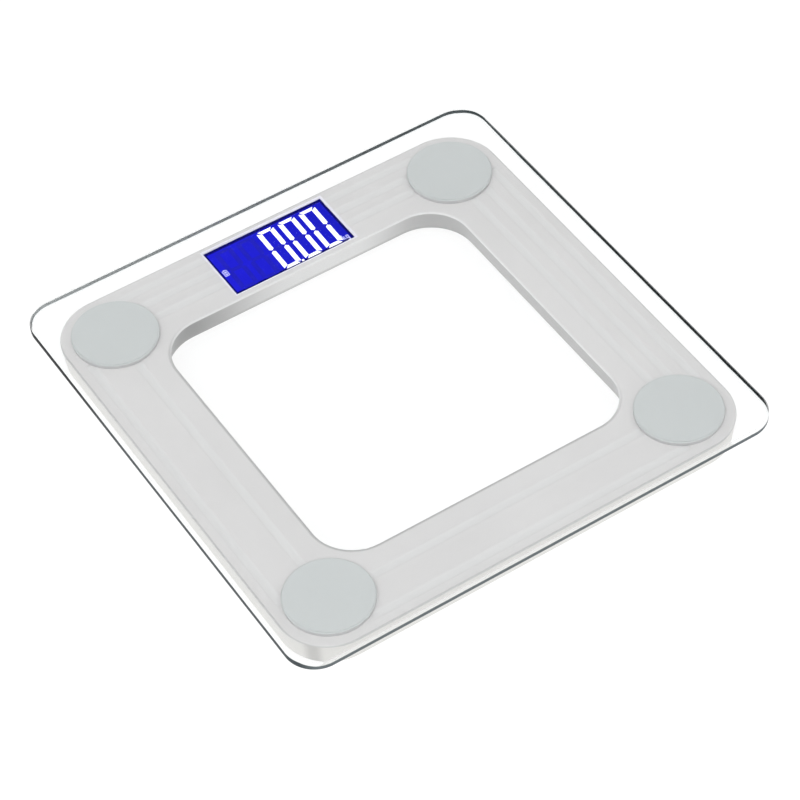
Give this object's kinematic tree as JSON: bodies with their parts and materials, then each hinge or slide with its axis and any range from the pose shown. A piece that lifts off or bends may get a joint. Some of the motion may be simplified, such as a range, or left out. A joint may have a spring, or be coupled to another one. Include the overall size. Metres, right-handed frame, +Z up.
{
  "type": "digital platform scale",
  "caption": "Square clear-glass platform scale on a pale ring frame, with round glass mounts, sprung load-cell feet and a blue backlit display.",
  "frame": {"origin": "on the floor under the middle of the glass platform", "axes": "+X right and +Y towards the display edge, as a person reading the display stands; +Z up, through the platform"},
  "size_m": [0.3, 0.3, 0.0254],
  "materials": {
    "platform_glass": "clear toughened float glass, polished, ground edge",
    "disc_grey": "pale grey satin coating",
    "bond_clear": "thin grey bonding tape",
    "shell_silver": "pale silver-grey satin moulding",
    "base_plastic": "off-white textured moulding",
    "foot_plastic": "pale grey moulding",
    "foot_rubber": "dark grey soft non-slip rubber",
    "seat_plastic": "white moulding",
    "cell_steel": "nickel-plated stamped steel",
    "gauge_silicone": "white silicone",
    "lcd_glass": "blue backlit negative display behind a gloss polariser",
    "light_guide": "milky light guide",
    "strip_rubber": "layered conductive silicone strip",
    "holder_plastic": "white moulding",
    "board_green": "green solder mask on glass-fibre board",
    "chip_epoxy": "black potting resin",
    "component_ceramic": "small ceramic and resin components",
    "plug_plastic": "natural nylon",
    "switch_steel": "stamped cover",
    "plunger_plastic": "black nylon",
    "button_plastic": "grey satin moulding",
    "cell_jacket": "plain printed steel jacket with no marks",
    "contact_nickel": "nickel-plated spring steel",
    "screw_steel": "zinc-plated steel",
    "wire_insulation": "PVC insulation"
  },
  "bodies": {
    "root": {"battery_back": "cell_jacket", "battery_front": "cell_jacket", "battery_lead": "wire_insulation", "board_components": "component_ceramic", "board_screws": "screw_steel", "bond_pad_back_left": "bond_clear", "bond_pad_back_right": "bond_clear", "bond_pad_front_left": "bond_clear", "bond_pad_front_right": "bond_clear", "cell_lead_back_left": "wire_insulation", "cell_lead_back_right": "wire_insulation", "cell_lead_front_left": "wire_insulation", "cell_lead_front_right": "wire_insulation", "cell_seat_back_left": "seat_plastic", "cell_seat_back_right": "seat_plastic", "cell_seat_front_left": "seat_plastic", "cell_seat_front_right": "seat_plastic", "contact_link": "contact_nickel", "contact_negative": "contact_nickel", "contact_positive": "contact_nickel", "contact_strip": "strip_rubber", "controller_chip": "chip_epoxy", "disc_screws": "screw_steel", "display_holder": "holder_plastic", "gauge_cover_back_left": "gauge_silicone", "gauge_cover_back_right": "gauge_silicone", "gauge_cover_front_left": "gauge_silicone", "gauge_cover_front_right": "gauge_silicone", "glass_platform": "platform_glass", "lcd_backlight": "light_guide", "lcd_panel": "lcd_glass", "lead_plugs": "plug_plastic", "load_cell_back_left": "cell_steel", "load_cell_back_right": "cell_steel", "load_cell_front_left": "cell_steel", "load_cell_front_right": "cell_steel", "lower_shell": "base_plastic", "main_board": "board_green", "mount_disc_back_left": "disc_grey", "mount_disc_back_right": "disc_grey", "mount_disc_front_left": "disc_grey", "mount_disc_front_right": "disc_grey", "shell_screws": "screw_steel", "spring_link": "contact_nickel", "spring_negative": "contact_nickel", "switch_body": "switch_steel", "upper_shell": "shell_silver"},
    "foot_front_left": {"foot_cap_front_left": "foot_plastic", "foot_pad_front_left": "foot_rubber"},
    "foot_front_right": {"foot_cap_front_right": "foot_plastic", "foot_pad_front_right": "foot_rubber"},
    "foot_back_right": {"foot_cap_back_right": "foot_plastic", "foot_pad_back_right": "foot_rubber"},
    "foot_back_left": {"foot_cap_back_left": "foot_plastic", "foot_pad_back_left": "foot_rubber"},
    "battery_door": {"battery_door": "base_plastic"},
    "unit_button": {"unit_button": "button_plastic", "switch_plunger": "plunger_plastic"}
  },
  "joints": [
    {"name": "foot_travel_front_left", "type": "slide", "parent": "root", "child": "foot_front_left", "axis": [0, 0, 1], "range_m": [0, 0.0005], "stiffness_N_per_m": 900000, "deforming": ["load_cell_front_left"]},
    {"name": "foot_travel_front_right", "type": "slide", "parent": "root", "child": "foot_front_right", "axis": [0, 0, 1], "range_m": [0, 0.0005], "stiffness_N_per_m": 900000, "deforming": ["load_cell_front_right"]},
    {"name": "foot_travel_back_right", "type": "slide", "parent": "root", "child": "foot_back_right", "axis": [0, 0, 1], "range_m": [0, 0.0005], "stiffness_N_per_m": 900000, "deforming": ["load_cell_back_right"]},
    {"name": "foot_travel_back_left", "type": "slide", "parent": "root", "child": "foot_back_left", "axis": [0, 0, 1], "range_m": [0, 0.0005], "stiffness_N_per_m": 900000, "deforming": ["load_cell_back_left"]},
    {"name": "battery_door_hinge", "type": "hinge", "parent": "root", "child": "battery_door", "pos_m": [-0.0248, -0.116, 0.0036], "axis": [0, 1, 0], "range_deg": [0, 80]},
    {"name": "unit_button_press", "type": "slide", "parent": "root", "child": "unit_button", "axis": [0, 0, 1], "range_m": [0, 0.0004], "stiffness_N_per_m": 4000}
  ]
}
